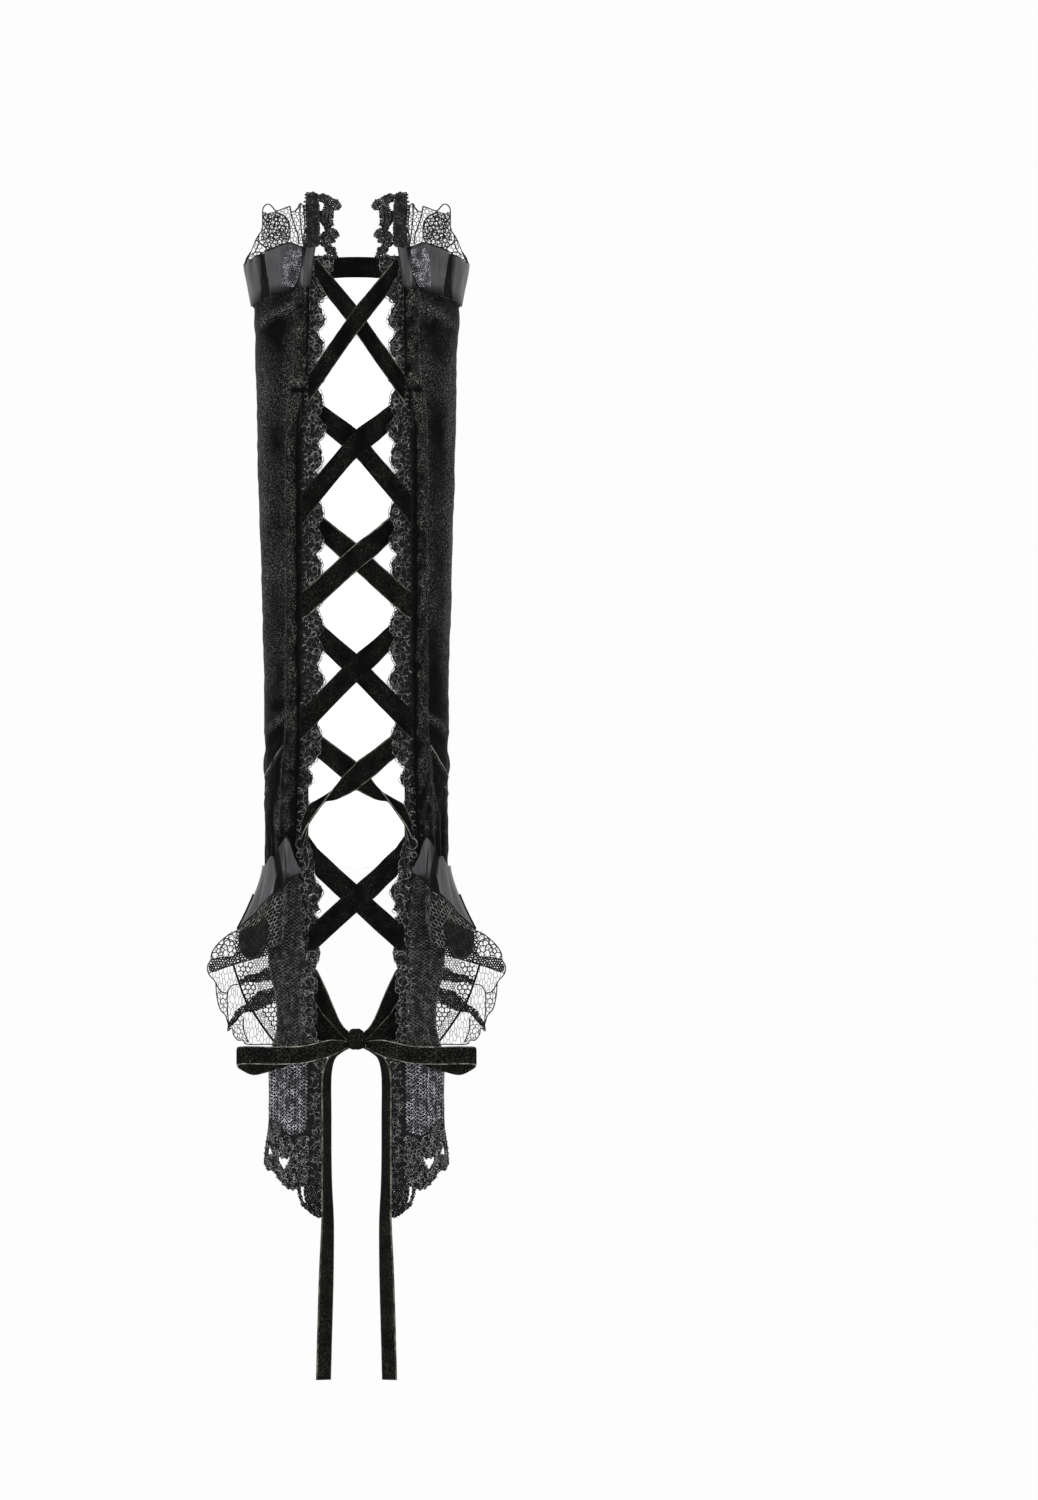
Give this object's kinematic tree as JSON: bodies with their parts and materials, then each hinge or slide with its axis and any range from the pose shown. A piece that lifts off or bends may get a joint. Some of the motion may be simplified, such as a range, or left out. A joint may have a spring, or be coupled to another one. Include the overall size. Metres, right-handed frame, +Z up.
{
  "type": "laced velvet arm warmer with lace hand panels",
  "caption": "Black velvet arm warmer laced down the front with velvet ribbon, with scalloped edging, a frilled top, wrist flounces, lace over the hand and a bow.",
  "frame": {"origin": "on the arm's axis at the wrist, where the arm goes through", "axes": "+Z up the arm to the elbow end, -Y out of the laced front, +X to the right seen from the front"},
  "size_m": [0.1372, 0.074, 0.546],
  "materials": {
    "velvet": "black stretch velvet, short dense pile",
    "satin": "grey satin, soft sheen",
    "net_lace": "black net lace, matt",
    "crochet": "black cotton crochet, matt",
    "fine_lace": "charcoal fine lace, matt",
    "velvet_ribbon": "black velvet ribbon, pale woven edges"
  },
  "bodies": {
    "root": {"sleeve_body": "velvet", "placket_left": "velvet", "placket_right": "velvet", "edging_left": "crochet", "edging_right": "crochet", "tab_left": "crochet", "tab_right": "crochet", "binding_left": "satin", "binding_right": "satin", "top_frill": "satin", "top_lace": "net_lace", "flounce_left": "satin", "flounce_right": "satin", "tier_left": "net_lace", "tier_right": "net_lace", "fan_left": "net_lace", "fan_right": "net_lace", "hand_panel_left": "fine_lace", "hand_panel_right": "fine_lace", "lacing_ribbon": "velvet_ribbon", "bow_knot": "velvet_ribbon", "bow_loop_left": "velvet_ribbon", "bow_loop_right": "velvet_ribbon", "bow_tail_left": "velvet_ribbon", "bow_tail_right": "velvet_ribbon"}
  },
  "joints": []
}
